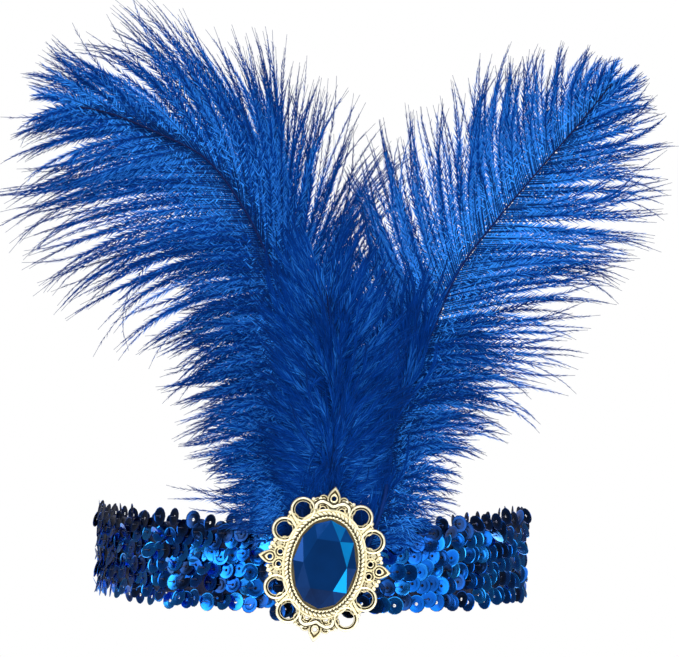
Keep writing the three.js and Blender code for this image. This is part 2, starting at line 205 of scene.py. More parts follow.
# Many rounded beads at once: middle plus a globe of rows and columns stretched along three half axes, poles
# closed by fans. The third axis points out of the work, and a bead is painted dark round its foot as shade
# and light on top as highlight.
def beadParts(middles, axes, columns=8, rows=6):
    tilt = (np.arange(1, rows) / rows * math.pi)[:, None]
    turn = turns(columns)[None]
    globe = np.stack(np.broadcast_arrays(
        np.cos(tilt), np.sin(tilt) * np.cos(turn), np.sin(tilt) * np.sin(turn)), axis=-1).reshape(-1, 3)
    globe = np.concatenate([globe, [[1, 0, 0], [-1, 0, 0]]])
    points = np.asarray(middles)[:, None] + np.einsum("pk,nkj->npj", globe, axes)
    quads = repeatFaces(gridQuads(rows - 1, columns), len(middles), len(globe))
    tris = repeatFaces(endFans(rows - 1, columns), len(middles), len(globe))
    # painted shade round each bead's foot, painted highlight on its top
    tone = np.tile(smoothStep(-0.2, 0.6, globe[:, 2]), len(middles))
    return makePart(points, quads, tris, tone=tone)


# Node tools. An input is a value, or another node's socket to link
def feed(tree, node, inputs):
    for key, value in inputs.items():
        if isinstance(value, bpy.types.NodeSocket):
            tree.links.new(value, node.inputs[key])
        else:
            node.inputs[key].default_value = value
    return node


def addNode(tree, kind, inputs, **settings):
    node = tree.nodes.new(kind)
    for key, value in settings.items():
        setattr(node, key, value)
    return feed(tree, node, inputs)


socketKinds = {1: "NodeSocketFloat", 3: "NodeSocketVector", 4: "NodeSocketColor"}  # by how many numbers


def startGroup(name, inputs, outputs):
    group = bpy.data.node_groups.new(name, "ShaderNodeTree")
    for label, value in inputs.items():
        kind = socketKinds[np.size(value)]
        group.interface.new_socket(name=label, in_out="INPUT", socket_type=kind).default_value = value
    for label, numbers in outputs.items():
        group.interface.new_socket(name=label, in_out="OUTPUT", socket_type=socketKinds[numbers])
    return group, group.nodes.new("NodeGroupInput").outputs


# Shared effects as shader node groups.
# Three dye or metal tones from dark to bright, picked by a tone value that drifts with a soft noise
def makeTonedColour():
    group, given = startGroup(
        "tonedColour",
        {
            "Tone": 0.5, "Dark": (0, 0, 0, 1), "Middle": (0.5, 0.5, 0.5, 1), "Bright": (1, 1, 1, 1),
            "Drift": 0.1, "Drift Scale": 60.0,
        },
        {"Colour": 4},
    )
    place = addNode(group, "ShaderNodeTexCoord", {}).outputs["Object"]
    noise = addNode(group, "ShaderNodeTexNoise", {
        "Vector": place, "Scale": given["Drift Scale"], "Detail": 3.0})
    centred = addNode(group, "ShaderNodeMath", {0: noise.outputs["Fac"], 1: 0.5}, operation="SUBTRACT")
    moved = addNode(
        group, "ShaderNodeMath", {0: centred.outputs[0], 1: given["Drift"], 2: given["Tone"]},
        operation="MULTIPLY_ADD")
    colour = given["Dark"]
    for start, label in ((0.0, "Middle"), (0.5, "Bright")):
        share = addNode(group, "ShaderNodeMapRange", {
            "Value": moved.outputs[0], "From Min": start, "From Max": start + 0.5})
        colour = addNode(
            group, "ShaderNodeMix", {"Factor": share.outputs[0], "A": colour, "B": given[label]},
            data_type="RGBA").outputs["Result"]
    addNode(group, "NodeGroupOutput", {"Colour": colour})
    return group


# A fine grain: one noise as a mask for gloss, and that noise with a finer one as a height
def makeFineGrain():
    group, given = startGroup(
        "fineGrain",
        {"Scale": 800.0, "Stretch": (1.0, 1.0, 1.0), "Low": 0.2, "High": 0.4},
        {"Gloss": 1, "Height": 1},
    )
    place = addNode(group, "ShaderNodeTexCoord", {}).outputs["Object"]
    stretched = addNode(group, "ShaderNodeVectorMath", {0: place, 1: given["Stretch"]}, operation="MULTIPLY")
    finer = addNode(group, "ShaderNodeMath", {0: given["Scale"], 1: 4.3}, operation="MULTIPLY")
    coarse, fine = (
        addNode(group, "ShaderNodeTexNoise", {
            "Vector": stretched.outputs[0], "Scale": scale, "Detail": detail}).outputs["Fac"]
        for scale, detail in ((given["Scale"], 4.0), (finer.outputs[0], 2.0))
    )
    gloss = addNode(group, "ShaderNodeMapRange", {
        "Value": coarse, "From Min": 0.3, "From Max": 0.7, "To Min": given["Low"], "To Max": given["High"]})
    height = addNode(group, "ShaderNodeMath", {0: fine, 1: 0.4, 2: coarse}, operation="MULTIPLY_ADD")
    addNode(group, "NodeGroupOutput", {"Gloss": gloss.outputs[0], "Height": height.outputs[0]})
    return group


tonedColour = makeTonedColour()
fineGrain = makeFineGrain()


# A finish: toned colour from the piece's own tone, grain for gloss and bump, the rest plain socket values.
# With a glow, the dye also gives off some of its own colour, painted light that lifts the shade where no lamp
# reaches
def makeFinish(name, tones, grain, sockets, drift=(0.1, 60.0), bump=(0.3, 0.00005), glow=0.0):
    material = bpy.data.materials.new(name)
    material.use_nodes = True
    tree = material.node_tree
    shader = tree.nodes["Principled BSDF"]
    own = addNode(tree, "ShaderNodeAttribute", {}, attribute_name="tone").outputs["Fac"]
    dark, middle, bright = ((*tone, 1) for tone in tones)
    colour = addNode(tree, "ShaderNodeGroup", {
        "Tone": own, "Dark": dark, "Middle": middle, "Bright": bright,
        "Drift": drift[0], "Drift Scale": drift[1],
    }, node_tree=tonedColour).outputs["Colour"]
    grained = addNode(tree, "ShaderNodeGroup", grain, node_tree=fineGrain).outputs
    relief = addNode(tree, "ShaderNodeBump", {
        "Strength": bump[0], "Distance": bump[1], "Height": grained["Height"]})
    feed(tree, shader, sockets)
    feed(tree, shader, {
        "Base Color": colour, "Roughness": grained["Gloss"], "Normal": relief.outputs["Normal"]})
    if glow:
        feed(tree, shader, {"Emission Color": colour, "Emission Strength": glow})
    return material


# Plumes. Shafts are those of the solids, and barbs grow much like their locks. Millimetres and degrees
quillY = -100.9  # where the quills stand behind the brooch

plumeSet = {
    "quillRadius": 0.85,  # at the foot
    "tipRadius": 0.2,
    "barbStations": 12,  # points along a barb
    "barbRadius": (0.2, 0.08),  # root and tip
    "barbTones": [(0, 0.05), (0.4, 0.18), (0.8, 0.18), (1, 0.06)],  # share of the barb, tone
    "rootSlip": 0.25,  # share of the pitch
    "strays": 0.1,  # share of barbs that keep out of the tufts
    "strayFan": 7,
    "tuftCut": 0.07,  # share of its length that a tuft falls short by
    "lengthLimits": (0.4, 1.01),  # shares of the length
    "tuftLean": 1.6,
    "curl": (9, 14),  # turn at the tip, of a tuft and of a barb
    "firmGrow": 1.9,  # how a firm barb's own lean grows along it
    "gather": 0.42,  # share of the barb where its tuft begins to close
    "hold": (0.5, 1.0),  # least and most of the pull
    "strayHold": 0.1,
    "strayBarbules": 0.5,  # share of the others' number
    "waver": (4, 9, 0.7),  # slowest and fastest turn along a barb, and its width
    "sway": (6, 1.2),  # turn along a barb to the back and front, and its width
    "frontLimits": (-101.2, -101.8),  # how near the brooch barbs and barbules come
    "barbulePitch": 0.92,  # along the barb, on each side
    "clothed": 0.94,  # share of a barb that carries barbules
    # share of the barb, then mm, degrees off the barb, width as a share, and tone
    "barbuleLengths": [(0.0, 1.7), (0.08, 2.6), (0.35, 3.6), (0.6, 3.6), (0.94, 1.4)],
    "barbuleOpening": [(0.0, 58), (0.15, 46), (0.4, 31), (0.94, 14)],
    "barbuleWidths": [(0, 1.7), (0.15, 1.5), (0.35, 1.1), (0.6, 0.9), (0.94, 0.45)],
    "barbuleTones": [(0, 0.52), (0.45, 0.54), (0.7, 0.47), (0.94, 0.22)],
    "barbuleWidth": 0.53,
    "barbuleFlat": (0.4, 1.1),  # thickness and breadth of its foot
    "barbuleFan": 0.65,  # radians, round the barb
    "openingSpread": 7,
    "leastOpening": 6,
    "softening": (0.7, 0.6),  # how far softness closes the opening and draws out the length
    "barbuleSizes": (0.75, 1.2),
    "barbShade": (0.14, 0.11),  # spread of tone from barb to barb, and how much less if soft
    "barbuleShade": 0.08,
    "broochShadeDepth": 0.6,  # how much darker barbs are painted, as shade behind the brooch
}

# What a vane has unless it says otherwise
vaneSet = {
    "spread": 6,  # mm that tips stray to the front and back
    "pull": 0.75,  # how far the barbs of a tuft are drawn together
    "clump": (2, 5),  # fewest and most barbs in a tuft
    "fan": 4,  # spread of the lean
    "lift": 0.0,  # mm that the roots lie behind the shaft
    "thin": 0.0,  # spaces the barbs wider towards the plume's tip
    "ragged": 0.08,  # share of its length that a barb falls short by
    "soft": 0.0,  # up to 1: barbules drawn out along the barb, and leans that differ from the root on
    "tone": 0.0,  # lightens the dye
    "pale": 0.0,  # lightens the barbules near the root
    "streak": 0.7,  # how far a barbule's tip is lighter than its foot
}
leftVane = {"lift": 0.5, "tone": 0.03, "pale": 0.09}
rightVane = {"lift": 0.5, "tone": 0.15, "fan": 5}
downVane = {"pitch": 0.8, "pull": 0.45, "clump": (3, 7), "fan": 5, "lift": 0.5}
softVane = {"spread": 5, "pull": 0.4, "clump": (3, 7), "fan": 6, "streak": 0.14, "soft": 0.9, "tone": -0.06}
footVane = {**softVane, "pitch": 0.9, "spread": 4, "fan": 15, "lift": -1.2}
frontVane = {
    **softVane, "pitch": 0.55, "pull": 0.5, "fan": 5, "streak": 0.13, "soft": 0.7, "tone": -0.02, "thin": 0.5,
}

# Seed and shaft points of each plume
shafts = {
    "plume_left": (5, [
        (-6, quillY, -8), (-7.5, quillY, 14), (-9.5, -99.5, 43), (-13.5, -96, 81), (-20.5, -94, 105),
        (-31, -93, 125), (-43, -93, 139.5), (-60, -95, 148), (-76, -98, 154), (-87, -101, 156),
    ]),
    "plume_right": (16, [
        (7, quillY, -8), (15, quillY, 8), (20.5, -101.5, 24), (21.8, -102.5, 43), (26, -103.5, 58),
        (34.5, -104, 78), (44.5, -104, 102), (58, -104, 120.5), (72, -104, 137.5), (85, -105, 153),
        (96, -106, 167),
    ]),
    "plume_front": (7, [
        (0.5, quillY, -8), (1, quillY, 14), (1.5, quillY, 28), (2, -104.5, 40), (2.5, -110, 54),
        (1, -114, 74), (-1.5, -116, 95),
    ]),
}

# Own values of each vane, then rows of at, length, lean, sweep, bow. at is measured along the shaft,
# lean from it, bow to the back
vanes = {
    "plume_left_outer": ({
        **leftVane, "side": 1, "pitch": 0.54, "spread": 7, "thin": 0.3, "ragged": 0.2,
    }, [
        (26, 27, 106, -14, -3), (36, 32, 104, -20, -4), (54, 41, 98, 8, -5), (80, 51, 97, 8, -6),
        (98, 60, 84, 26, -6), (114, 78, 60, 48, -5), (132, 92, 56, 46, -4), (150, 87, 46, 28, -4),
        (166, 69, 34, 20, -5), (182, 50, 22, 22, -6), (204, 27, 8, 44, -6),
    ]),
    "plume_left_inner": ({**leftVane, "side": -1, "pitch": 0.75, "thin": 0.42}, [
        (93, 98, 10, 2, 8), (109, 95, 24, -30, 7), (125, 90, 28, -50, 6), (141, 79, 28, -50, 5),
        (157, 68, 24, -40, 4), (173, 54, 24, -28, 2), (190, 38, 24, -26, 0), (204, 22, 10, -10, -2),
    ]),
    "plume_left_fan": ({
        "side": -1, "pitch": 0.5, "pull": 0.6, "clump": (2, 4), "fan": 8, "tone": -0.02,
    }, [
        (30, 60, 14, 20, 5), (58, 100, 10, 46, 9), (78, 104, 8, 24, 9), (94, 98, 10, 2, 8),
        (108, 90, 20, -12, 8),
    ]),
    "plume_left_down": ({**downVane, "side": 1}, [
        (14, 24, 60, 44, -3), (26, 30, 70, 36, -4), (44, 34, 76, 20, -5), (70, 38, 72, 20, -5),
        (100, 40, 66, 24, -5), (126, 36, 56, 24, -4),
    ]),
    "plume_left_foot": ({**footVane, "side": -1}, [
        (14, 26, 16, 0, -3), (40, 38, 12, 0, -4), (90, 42, 14, 0, -4),
    ]),
    "plume_left_wisps": ({
        "side": 1, "pitch": 1.6, "spread": 2, "pull": 0.2, "clump": (1, 3), "lift": -0.5,
    }, [
        (25, 40, 98, -8, -2), (36, 48, 95, -6, -2),
    ]),
    "plume_right_outer": ({
        **rightVane, "side": -1, "pitch": 0.88, "pull": 0.62, "clump": (2, 4), "pale": 0.1, "ragged": 0.11,
    }, [
        (26, 18, 86, 40, -3), (36, 20, 82, 40, -4), (48, 35, 66, 42, -5), (64, 45, 62, 30, -6),
        (80, 54, 60, 18, -6), (98, 62, 55, 15, -5), (116, 66, 49, 22, -5), (134, 61, 50, 11, -4),
        (148, 58, 52, -8, -4), (162, 49, 45, -12, -3), (172, 41, 36, -6, -3), (184, 28, 26, 0, -3),
        (198, 14, 14, 0, -2),
    ]),
    "plume_right_inner": ({**rightVane, "side": 1, "pitch": 0.82, "spread": 4, "pale": 0.18}, [
        (40, 50, 34, -6, -2), (68, 66, 40, -8, -2), (86, 72, 48, -10, -3), (102, 71, 50, -24, -3),
        (122, 64, 47, -16, -3), (138, 64, 54, -28, -3), (154, 51, 58, -36, -2), (170, 40, 54, -32, -1),
        (182, 29, 45, -25, 0), (198, 12, 16, 0, 0),
    ]),
    "plume_right_fan": ({
        "side": 1, "pitch": 0.9, "spread": 4, "pull": 0.7, "clump": (2, 4), "fan": 8, "tone": 0.02,
    }, [
        (40, 34, 62, -14, 3), (66, 42, 66, -20, 3), (92, 50, 68, -26, 3),
    ]),
    "plume_right_down": ({**downVane, "side": -1}, [
        (14, 22, 40, 60, -3), (26, 28, 44, 60, -4), (44, 32, 52, 40, -5), (64, 34, 50, 30, -5),
        (96, 34, 50, 24, -5),
    ]),
    "plume_right_foot": ({**footVane, "side": 1}, [
        (8, 24, 16, 0, -3), (14, 26, 18, 0, -3), (40, 38, 22, 0, -4), (86, 42, 26, -6, -4),
    ]),
    "plume_front_outer": ({**frontVane, "side": 1}, [
        (30, 24, 80, -14, -4), (42, 28, 76, -14, -6), (58, 37, 60, -10, -8), (76, 43, 46, -8, -8),
        (102, 36, 16, 0, -6),
    ]),
    "plume_front_inner": ({**frontVane, "side": -1}, [
        (30, 22, 80, -14, -4), (42, 26, 76, -14, -6), (58, 35, 60, -10, -8), (76, 42, 46, -8, -8),
        (102, 36, 16, 0, -6),
    ]),
    "plume_front_down": ({**softVane, "side": 1, "pitch": 0.65}, [
        (16, 22, 62, -10, -2), (30, 28, 50, -10, -4), (52, 34, 36, -10, -6),
    ]),
    "plume_front_underdown": ({**softVane, "side": -1, "pitch": 0.52, "pull": 0.3}, [
        (10, 20, 64, -10, -2), (30, 28, 50, -10, -4), (52, 34, 36, -10, -6),
    ]),
    "plume_front_cover": ({
        **softVane, "side": 1, "pitch": 0.8, "spread": 3, "clump": (3, 6), "fan": 17, "lift": -1.2,
    }, [
        (18, 24, 2, 0, -3), (50, 30, 2, 0, -4), (80, 30, 0, 0, -4),
    ]),
}


# Shaft line: cubic stretches through the points with centripetal slopes, then evened out by distance
def shaftLine(points, samples=401):
    points = np.asarray(points, float)
    ends = np.concatenate([2 * points[:1] - points[1:2], points, 2 * points[-1:] - points[-2:-1]])
    p0, p1, p2, p3 = (ends[i:len(ends) - 3 + i] for i in range(4))
    d0, d1, d2 = (np.sqrt(np.linalg.norm(b - a, axis=1))[:, None] for a, b in ((p0, p1), (p1, p2), (p2, p3)))
    slope1 = ((p1 - p0) / d0 - (p2 - p0) / (d0 + d1) + (p2 - p1) / d1) * d1
    slope2 = ((p2 - p1) / d1 - (p3 - p1) / (d1 + d2) + (p3 - p2) / d2) * d1
    t = np.linspace(0, 1, 40, endpoint=False)[None, :, None]
    a, b = p1[:, None], p2[:, None]
    m, n = slope1[:, None], slope2[:, None]
    curve = a + m * t + (3 * (b - a) - 2 * m - n) * t ** 2 + (2 * (a - b) + m + n) * t ** 3
    curve = np.concatenate([curve.reshape(-1, 3), points[-1:]])
    run = runAlong(curve)
    even = np.linspace(0, run[-1], samples)
    line = readAlong(even, run, curve)
    return even, line, unit(np.gradient(line, axis=0))


# Neighbouring barbs in runs of a random size: the number of each barb's run and its middle barb
def clumpRuns(count, sizes, rng):
    lengths = rng.integers(sizes[0], sizes[1] + 1, count)
    starts = np.concatenate([[0], np.cumsum(lengths)])
    run = np.searchsorted(starts, np.arange(count), side="right") - 1
    middle = np.minimum(starts[run] + lengths[run] // 2, count - 1)
    return run, middle


# Where the brooch covers the plumes, and the oval of painted shade that it casts on them
coverSet = {
    "opensUp": (26, 50),  # heights from which and to which the way to the front opens
    "opensOut": (24, 34),
    "opening": 40,
    "broochShadeHalf": (17.5, 22),  # half sizes of the oval of painted shade
    "broochShadeMiddle": 0.8,
    "broochShadeCore": 0.7,
}


# Points low down near the middle keep behind the brooch: y is held at a limit that opens up and outwards
def behindBrooch(points, limit, values=coverSet):
    up = smoothStep(*values["opensUp"], points[..., 2])
    out = smoothStep(*values["opensOut"], np.abs(points[..., 0]))
    points[..., 1] = np.maximum(points[..., 1], limit - values["opening"] * (up + out))
    return points


# How far a point lies in the painted shade behind the brooch, where barbs are darkened: 1 inside an oval, 0
# past its edge
def paintedBroochShade(points, values=coverSet):
    across, up = values["broochShadeHalf"]
    apart = (points[..., 0] / across) ** 2 + ((points[..., 2] - values["broochShadeMiddle"]) / up) ** 2
    return smoothStep(1.0, values["broochShadeCore"], apart)


# A value read off a short table of shares and values
def graded(share, table):
    return np.interp(share, *np.transpose(table))


# Barb lines: from its root a barb heads off at its lean, turns by its sweep, curls with the cube of its share
# and bows to the back with the square. A firm barb's own lean grows along it, so that barbs leave the shaft
# side by side. Then runs of barbs are drawn towards their middle one, and each wavers a little.
def barbLines(shaft, rows, vane, values, rng):
    run, line, along = shaft
    rows = np.asarray(rows, float)
    first, last = rows[0, 0], min(rows[-1, 0], run[-1])
    count = int((last - first) / vane["pitch"])
    even = np.linspace(0, 1, count)
    at = first + (last - first) * (even + vane["thin"] * (even ** 2 - even))
    at = np.clip(at + rng.normal(0, values["rootSlip"] * vane["pitch"], count), 0, run[-1])
    length, lean, sweep, bow = readAlong(at, rows[:, 0], rows[:, 1:]).T
    root = readAlong(at, run, line) + backward * vane["lift"]
    heading = unit(readAlong(at, run, along))
    outward = vane["side"] * unit(np.column_stack([-heading[:, 2], np.zeros(count), heading[:, 0]]))
    tuft, middle = clumpRuns(count, vane["clump"], rng)
    stray = rng.random(count) < values["strays"]
    tuftCut, tuftLean, tuftCurl = rng.normal(0, 1, (3, count))[:, tuft]
    cut = vane["ragged"] * np.abs(rng.normal(0, 1, count)) + values["tuftCut"] * np.abs(tuftCut)
    shortest, longest = values["lengthLimits"]
    length = length * np.maximum(longest - cut, shortest)
    lean = lean + values["tuftLean"] * tuftLean
    astray = rng.normal(0, vane["fan"], count) + np.where(stray, rng.normal(0, values["strayFan"], count), 0)
    curl = values["curl"][0] * tuftCurl + rng.normal(0, values["curl"][1], count)
    bow = bow + vane["spread"] * rng.uniform(-1, 1, count)
    share = np.linspace(0, 1, values["barbStations"])
    between = (share[1:] + share[:-1]) / 2
    grow = vane["soft"] + (1 - vane["soft"]) * values["firmGrow"] * between
    turn = lean[:, None] + sweep[:, None] * between + curl[:, None] * between ** 3 + astray[:, None] * grow
    turn = np.radians(turn)
    step = heading[:, None] * np.cos(turn)[..., None] + outward[:, None] * np.sin(turn)[..., None]
    step = step * (length / len(between))[:, None, None]
    path = np.concatenate([root[:, None], root[:, None] + np.cumsum(step, axis=1)], axis=1)
    path[..., 1] += bow[:, None] * share ** 2
    hold = vane["pull"] * rng.uniform(*values["hold"], count)[tuft]
    hold = hold * np.where(stray, values["strayHold"], 1.0)
    weight = hold[:, None] * smoothStep(values["gather"], 1.0, share)[None]
    path = path + (path[middle] - path) * weight[..., None]
    start = rng.uniform(0, fullTurn, (count, 1))
    slow, fast, width = values["waver"]
    swing = np.sin(share[None] * rng.uniform(slow, fast, (count, 1)) + start) * share
    swing = swing * rng.normal(0, width, (count, 1))
    path[..., 0] += swing * outward[:, 2:] * vane["side"]
    path[..., 2] += swing * outward[:, :1] * vane["side"]
    path[..., 1] += np.cos(share[None] * values["sway"][0] + start) * share * values["sway"][1]
    return behindBrooch(path, values["frontLimits"][0]), length, stray


# Barbs as three-sided tapering tubes: path point plus radius times a triangle of directions
def barbTubes(path, radius, tone):
    count, stations, sides = path.shape[0], path.shape[1], 3
    ring = ringRound(unit(np.gradient(path, axis=1)), sides)
    points = path[:, :, None] + ring * np.broadcast_to(radius, path.shape[:2])[:, :, None, None]
    each = stations * sides
    quads = repeatFaces(gridQuads(stations, sides), count, each)
    caps = np.array([[2, 1, 0], [each - 3, each - 2, each - 1]])
    tones = np.repeat(np.broadcast_to(tone, path.shape[:2])[:, :, None], sides, axis=2)
    return makePart(points * mm, quads, repeatFaces(caps, count, each), tone=tones)


# Barbules as four-faced spikes along both sides of each barb: a small triangle on the barb and a far tip,
# leaning forward along the barb and fanned out round it
def barbuleSpikes(path, length, stray, vane, values, rng):
    count, stations = path.shape[:2]
    soft = vane["soft"]
    pitch = values["barbulePitch"] / 2
    each = (length * values["clothed"] / pitch * np.where(stray, values["strayBarbules"], 1.0)).astype(int)
    owner = np.repeat(np.arange(count), each)
    order = np.arange(each.sum()) - np.repeat(np.cumsum(each) - each, each)
    share = (order + rng.random(len(order))) / each[owner] * values["clothed"]
    station = np.minimum((share * (stations - 1)).astype(int), stations - 2)
    part = (share * (stations - 1) - station)[:, None]
    base = path[owner, station] * (1 - part) + path[owner, station + 1] * part
    base[:, 1] += 0.3 * smoothStep(0.5, 0.25, share)  # near the root they lie behind the barb's core
    along = unit(path[owner, station + 1] - path[owner, station])
    across = unit(np.cross(backward, along))
    out = np.cross(along, across)
    side = np.where(order % 2, 1.0, -1.0)
    fan = rng.normal(0, values["barbuleFan"], len(order)) * smoothStep(-0.2, 0.5, share)
    close, draw = values["softening"]
    opening = graded(share, values["barbuleOpening"]) + rng.normal(0, values["openingSpread"], len(order))
    opening = np.radians(np.maximum(opening * (1 - close * soft), values["leastOpening"]))
    reach = (side * np.cos(fan))[:, None] * across + np.sin(fan)[:, None] * out
    heading = np.cos(opening)[:, None] * along + np.sin(opening)[:, None] * reach
    size = graded(share, values["barbuleLengths"]) * (1 + draw * soft)
    size = size * rng.uniform(*values["barbuleSizes"], len(order))
    size = np.minimum(size, (1.02 - share) * length[owner])  # none reaches past its barb's tip
    wide = values["barbuleWidth"] / 2 * graded(share, values["barbuleWidths"])
    first = unit(np.cross(heading, along))
    second = np.cross(heading, first)
    turn = turns(3)
    thick, broad = values["barbuleFlat"]
    ring = first[:, None] * thick * np.cos(turn)[:, None] + second[:, None] * broad * np.sin(turn)[:, None]
    foot = base[:, None] + ring * wide[:, None, None]
    tip = (base + heading * size[:, None])[:, None]
    points = behindBrooch(np.concatenate([foot, tip], axis=1), values["frontLimits"][1])
    tris = repeatFaces(np.array([[0, 2, 1], [0, 1, 3], [1, 2, 3], [2, 0, 3]]), len(order), 4)
    firm, less = values["barbShade"]
    shade = vane["tone"] + rng.normal(0, firm - less * soft, count)[owner]
    shade = shade + rng.normal(0, values["barbuleShade"], len(order))
    shade = shade + graded(share, values["barbuleTones"]) + vane["pale"] * smoothStep(0.45, 0.1, share)
    # painted shade: barbules behind the brooch are darkened as if in its shadow
    shade = shade - values["broochShadeDepth"] * paintedBroochShade(base)
    streak = vane["streak"] * (0.35 + 0.65 * smoothStep(0.1, 0.5, share))
    tone = shade[:, None] + streak[:, None] * np.array([-0.4, -0.4, -0.4, 0.6])  # foot dark, tip light
    return makePart(points * mm, tris=tris, tone=np.clip(tone, 0, 1))


plumeDyeAndGlow = makeFinish(
    "dyedGlowingBarbs",
    [(0.001, 0.011, 0.06), (0.0, 0.03, 0.212), (0.03, 0.25, 0.8)],
    {"Scale": 900.0, "Low": 0.55, "High": 0.8},
    {"Specular IOR Level": 0.03},
    drift=(0.2, 70.0),
    # painted light: the barbs glow in their own colour to lift the shade between layers
    glow=0.3,
)

quillDye = makeFinish(
    "dyedQuill",
    [(0.006, 0.006, 0.03), (0.003, 0.012, 0.08), (0.0, 0.028, 0.18)],
    {"Scale": 700.0, "Stretch": (1.0, 1.0, 0.15), "Low": 0.3, "High": 0.5},
    {"Specular IOR Level": 0.06},
    drift=(0.3, 120.0),
)


def buildPlume(name, seed, points, values):
    rng = np.random.default_rng(seed)
    shaft = shaftLine(points)
    line = shaft[1][::5]
    share = np.linspace(0, 1, len(line))
    radius = values["tipRadius"] + (values["quillRadius"] - values["tipRadius"]) * (1 - share) ** 1.5
    quill = tubePart(line * mm, radius * mm, 0.9 - 0.8 * share)
    makePiece(f"{name}_shaft", [quill], quillDye, [name])
    stations = np.linspace(0, 1, values["barbStations"])
    for pieceName in (key for key in vanes if key.startswith(name)):
        own, rows = vanes[pieceName]
        vane = {**vaneSet, **own}
        path, length, stray = barbLines(shaft, rows, vane, values, rng)
        # painted shade: barb cores behind the brooch are darkened as if in its shadow
        core = graded(stations, values["barbTones"]) * (1 - paintedBroochShade(path))
        tubes = barbTubes(path, np.interp(stations, [0, 1], values["barbRadius"]), core)
        spikes = barbuleSpikes(path, length, stray, vane, values, rng)
        makePiece(pieceName, [tubes, spikes], plumeDyeAndGlow, [name], sharpAngle=0)


for plumeName, (seed, points) in shafts.items():
    buildPlume(plumeName, seed, points, plumeSet)
print("plumes grown")


# Band: the head loop is an oval whose middle line dips behind. Millimetres
bandSet = {
    "halfBreadth": 79.0,  # outer face
    "halfDepth": 99.5,
    "napeDip": 14.0,
    "templeRise": 1.0,
    "pathDepth": 1.0,  # in from the outer face, where distances round the band are measured
    "ribbonHalf": 12.4,  # half height
    "ribbonDepth": (1.55, 2.45),  # outer and inner face, measured in from the outer face of the band
    "ribs": 16,
    "ribRelief": 0.11,
    "hem": (0.9, 0.3),  # breadth of the rounded edges, and how far they close in
    "grid": (120, 33),  # points round the loop and over the height
}


# Place on the band at an angle from the brow, a depth in from its outer face and a height from its middle
def bandPlace(angle, depth, height, values=bandSet):
    behind = (1 - np.cos(angle)) / 2
    line = values["templeRise"] * np.sin(angle) ** 2 - values["napeDip"] * behind ** 3
    return np.stack(np.broadcast_arrays(
        (values["halfBreadth"] - depth) * np.sin(angle),
        -(values["halfDepth"] - depth) * np.cos(angle),
        height + line,
    ), axis=-1)


# Angles round the band at even distances, and the distance all the way round
def bandAngles(count):
    angle = np.linspace(0, fullTurn, 2001)
    run = runAlong(bandPlace(angle, bandSet["pathDepth"], 0.0))
    return np.interp(np.arange(count) / count * run[-1], run, angle), run[-1]


# The stretch ribbon: a flat profile carried round the loop, ribbed inside by a squared cosine
def buildRibbon(values):
    steps, across = values["grid"]
    half, relief = values["ribbonHalf"], values["ribRelief"]
    outer, inner = values["ribbonDepth"]
    hemBreadth, hemClose = values["hem"]
    height = np.linspace(-half, half, across)
    rib = relief * np.cos(height / half * math.pi * values["ribs"] / 2) ** 2
    edge = hemClose * smoothStep(half - hemBreadth, half, np.abs(height))
    depth = np.concatenate([outer + edge, (inner + rib - edge - relief)[::-1]])
    heights = np.concatenate([height, height[::-1]])
    # painted shade: the inside is darker in the grooves between ribs and lighter on their crests
    tone = np.concatenate([np.full(across, 0.35), (0.35 + 0.4 * rib / relief)[::-1]])
    points = bandPlace(bandAngles(steps)[0][:, None], depth, heights)
    quads = gridQuads(steps, 2 * across, roundRows=True)
    part = makePart(points * mm, quads, tone=np.tile(tone, steps))
    return makePiece("ribbon", [part], ribbonWeave, ["band"])


ribbonWeave = makeFinish(
    "ribbedElastic",
    [(0.002, 0.004, 0.02), (0.006, 0.012, 0.06), (0.012, 0.03, 0.14)],
    {"Scale": 1400.0, "Stretch": (1.0, 1.0, 2.0), "Low": 0.65, "High": 0.9},
    {"Specular IOR Level": 0.3, "Sheen Weight": 0.2},
    bump=(0.6, 0.00015),
)

ribbon = buildRibbon(bandSet)


# Sequins: cupped discs with a hole, each lapped over the one to its right. Millimetres and degrees
sequinSet = {
    "seed": 12,
    "rows": 6,
    "rowPitch": 5.1,
    "pitch": 4.3,
    "slip": 0.16,  # spread round the band, as a share of the pitch
    "rise": 0.6,  # spread of the height
    "topEdge": (0.9, -3.0),  # how far the top row stands up, and how much more for every other one
    "lowEdge": (-1.3, 1.4),
    "hang": (-12, 5, 1.8),  # some of the low row hang lower: where, how far about, and by how much
    "sides": 14,
    # radius, height, and how much lighter than its shade: a painted highlight on the rim, painted shade round
    # the hole and on the back
    "profile": [
        (0.55, 0.05, -0.1), (2.75, 0.04, 0.0), (3.15, 0.2, 0.3), (3.12, 0.11, 0.1), (0.55, -0.04, -0.2),
    ],
    "sizeSpread": 0.025,
    "depth": 0.75,
    "depthSpread": 0.1,
    "clearance": 0.1,  # from the ribbon
    "lap": 9.0,  # right edge outwards
    "lapTurn": 6.0,  # more of it on the right side, less on the left
    "nod": 8.0,  # lower edge outwards
    "lapSpread": 6.5,
    "nodSpread": 8.5,
    "loose": 0.06,  # share that stands well off
    "looseness": 2.4,  # how much further than the rest
    "shade": (0.53, 0.15),  # middle and spread
    "dullOrShaded": 0.13,  # share dyed nearly black at random, besides the top row, which is painted dark as shade
    "dullOrShadedCut": 0.6,
    "sequinBroochShade": (20, 16, 0.7),  # painted shade behind the brooch: from, to, and how much darker
    "stitch": [(0.1, 0, -0.1), (-0.1, 0.03, 0.2), (-1.1, 0, 0.26), (-2.3, -0.05, 0.12), (-3.0, -0.05, -0.2)],
    "threadRadius": 0.11,
}


